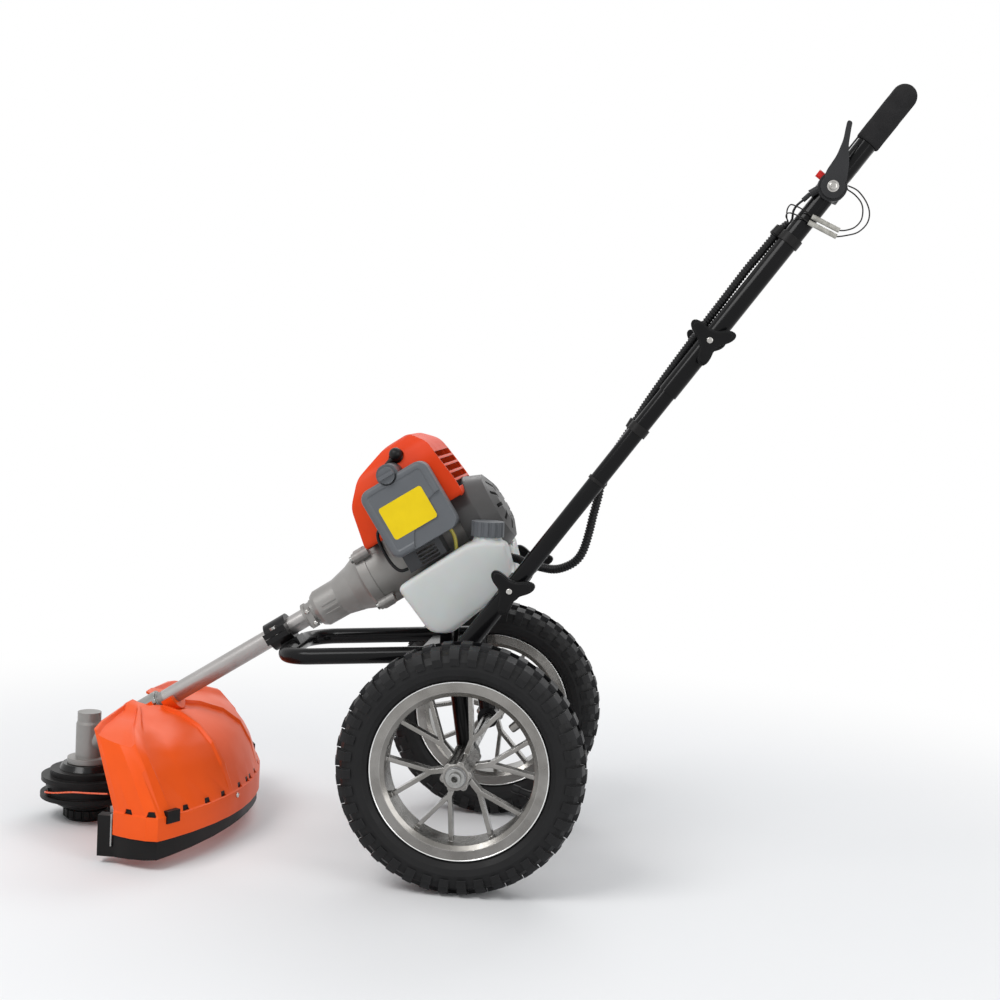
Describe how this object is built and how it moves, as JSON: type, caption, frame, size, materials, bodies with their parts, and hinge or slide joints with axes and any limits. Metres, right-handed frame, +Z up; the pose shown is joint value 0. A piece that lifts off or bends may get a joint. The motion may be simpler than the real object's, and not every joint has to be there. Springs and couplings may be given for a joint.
{
  "type": "wheeled string trimmer",
  "caption": "Walk-behind string trimmer on two spoked, lugged wheels: tube frame, fold-down handle bars, small engine, straight drive tube, spool head and fan-shaped guard.",
  "frame": {"origin": "on the floor under the middle of the machine's length, width and footprint box", "axes": "+X to the rear along the machine's length, +Y to the machine's right, +Z up"},
  "size_m": [1.1394, 0.523, 1.0376],
  "materials": {
    "frame_paint": "satin black paint",
    "bar_paint": "satin black paint",
    "zinc": "bright zinc",
    "bearing_steel": "ground",
    "blade_steel": "bare",
    "clamp_plastic": "moulded",
    "black_plastic": "moulded",
    "dark_plastic": "moulded",
    "knob_plastic": "moulded",
    "hose_plastic": "moulded",
    "gloss_black": "gloss",
    "grey_plastic": "moulded",
    "orange_plastic": "semi-gloss",
    "red_plastic": "semi-gloss",
    "tank_plastic": "translucent white",
    "clear_sleeve": "clear sleeve",
    "yellow_tube": "translucent",
    "black_rubber": "matte",
    "wire_cover": "matte",
    "line_nylon": "drawn nylon",
    "filter_foam": "open foam",
    "grip_foam": "foam",
    "tube_aluminium": "satin",
    "cast_alloy": "as cast",
    "rim_aluminium": "polished cast",
    "muffler_steel": "heat-proof black",
    "tyre_rubber": "matte"
  },
  "bodies": {
    "chassis": {"frame_loop": "frame_paint", "left_post": "frame_paint", "right_post": "frame_paint", "axle": "zinc", "wheel_bearings": "bearing_steel", "shaft_clamp": "clamp_plastic", "fasteners": "zinc", "engine_stand": "frame_paint", "drive_tube": "tube_aluminium", "tube_collar": "cast_alloy", "clutch_housing": "cast_alloy", "crankcase": "cast_alloy", "cylinder": "cast_alloy", "spark_plug": "zinc", "plug_boot": "black_rubber", "engine_cover": "orange_plastic", "filter_base": "black_plastic", "filter_cover": "grey_plastic", "filter_element": "filter_foam", "carburettor": "cast_alloy", "muffler": "muffler_steel", "starter_housing": "dark_plastic", "fuel_tank": "tank_plastic", "fuel_line": "yellow_tube", "throttle_cable": "black_rubber", "gear_case": "cast_alloy", "guard": "orange_plastic", "guard_skirt": "black_plastic", "guard_bracket": "zinc", "cutter_blade": "blade_steel"},
    "left_wheel": {"left_rim": "rim_aluminium", "left_tyre": "tyre_rubber"},
    "right_wheel": {"right_rim": "rim_aluminium", "right_tyre": "tyre_rubber"},
    "head": {"output_shaft": "bearing_steel", "spool_cup": "gloss_black", "spool": "black_plastic", "trimmer_line": "line_nylon"},
    "drive_line": {"drive_shaft": "bearing_steel"},
    "bump": {"bump_knob": "black_plastic"},
    "left_lower_bar": {"left_lower_tube": "bar_paint", "lower_clips": "black_plastic", "conduit": "hose_plastic"},
    "right_lower_bar": {"right_lower_tube": "bar_paint"},
    "left_upper_bar": {"left_upper_tube": "bar_paint", "left_grip": "grip_foam", "throttle_housing": "knob_plastic", "kill_wires": "wire_cover", "wire_connectors": "clear_sleeve", "upper_clip": "black_plastic"},
    "right_upper_bar": {"right_upper_tube": "bar_paint", "right_grip": "grip_foam"},
    "left_fold_knob": {"left_lower_knob": "knob_plastic"},
    "right_fold_knob": {"right_lower_knob": "knob_plastic"},
    "left_slide_knob": {"left_upper_knob": "knob_plastic"},
    "right_slide_knob": {"right_upper_knob": "knob_plastic"},
    "throttle": {"throttle_lever": "knob_plastic"},
    "kill_switch": {"kill_button": "red_plastic"},
    "tank_cap": {"fuel_cap": "grey_plastic"},
    "filter_catch": {"filter_knob": "grey_plastic"}
  },
  "joints": [
    {"name": "left_wheel_spin", "type": "hinge", "parent": "chassis", "child": "left_wheel", "pos_m": [0.05329, -0.1955, 0.16], "axis": [0, 1, 0], "continuous": true},
    {"name": "right_wheel_spin", "type": "hinge", "parent": "chassis", "child": "right_wheel", "pos_m": [0.05329, 0.1955, 0.16], "axis": [0, 1, 0], "continuous": true},
    {"name": "head_spin", "type": "hinge", "parent": "chassis", "child": "head", "pos_m": [-0.50471, 0, 0.06], "axis": [0, 0, 1], "continuous": true},
    {"name": "drive_spin", "type": "hinge", "parent": "chassis", "child": "drive_line", "pos_m": [-0.34093, 0, 0.21338], "axis": [0.8351, 0, 0.5501], "continuous": true},
    {"name": "bump_press", "type": "slide", "parent": "head", "child": "bump", "axis": [0, 0, 1], "range_m": [0, 0.006], "stiffness_N_per_m": 9000, "springref_m": -0.008},
    {"name": "left_fold", "type": "hinge", "parent": "chassis", "child": "left_lower_bar", "pos_m": [0.10129, -0.152, 0.385], "axis": [0, 1, 0], "range_deg": [-15, 50], "deforming": ["conduit"]},
    {"name": "right_fold", "type": "hinge", "parent": "chassis", "child": "right_lower_bar", "pos_m": [0.10129, 0.152, 0.385], "axis": [0, 1, 0], "range_deg": [-15, 50]},
    {"name": "left_draw", "type": "slide", "parent": "left_lower_bar", "child": "left_upper_bar", "axis": [0.5793, 0, 0.8151], "range_m": [0, 0.1], "deforming": ["conduit"]},
    {"name": "right_draw", "type": "slide", "parent": "right_lower_bar", "child": "right_upper_bar", "axis": [0.5793, 0, 0.8151], "range_m": [0, 0.1]},
    {"name": "left_fold_knob_turn", "type": "hinge", "parent": "chassis", "child": "left_fold_knob", "pos_m": [0.10129, -0.17, 0.385], "axis": [0, 1, 0], "range_deg": [0, 340]},
    {"name": "right_fold_knob_turn", "type": "hinge", "parent": "chassis", "child": "right_fold_knob", "pos_m": [0.10129, 0.17, 0.385], "axis": [0, 1, 0], "range_deg": [0, 340]},
    {"name": "left_slide_knob_turn", "type": "hinge", "parent": "left_upper_bar", "child": "left_slide_knob", "pos_m": [0.33474, -0.17, 0.7135], "axis": [0, 1, 0], "range_deg": [0, 340]},
    {"name": "right_slide_knob_turn", "type": "hinge", "parent": "right_upper_bar", "child": "right_slide_knob", "pos_m": [0.33474, 0.17, 0.7135], "axis": [0, 1, 0], "range_deg": [0, 340]},
    {"name": "throttle_squeeze", "type": "hinge", "parent": "left_upper_bar", "child": "throttle", "pos_m": [0.47261, -0.175, 0.9075], "axis": [0, 1, 0], "range_deg": [0, 22], "stiffness_Nm_per_rad": 0.8, "springref_deg": -11.46},
    {"name": "kill_press", "type": "slide", "parent": "left_upper_bar", "child": "kill_switch", "axis": [0.8151, 0, -0.5793], "range_m": [0, 0.003], "stiffness_N_per_m": 900, "springref_m": -0.003},
    {"name": "cap_lift", "type": "slide", "parent": "chassis", "child": "tank_cap", "axis": [0, 0, 1], "range_m": [0, 0.045]},
    {"name": "filter_knob_turn", "type": "hinge", "parent": "chassis", "child": "filter_catch", "pos_m": [-0.07214, -0.12, 0.51976], "axis": [0, 1, 0], "range_deg": [0, 180]}
  ],
  "couplings": [
    {"joint": "drive_spin", "follows": "head_spin", "ratio": -1.3846}
  ]
}
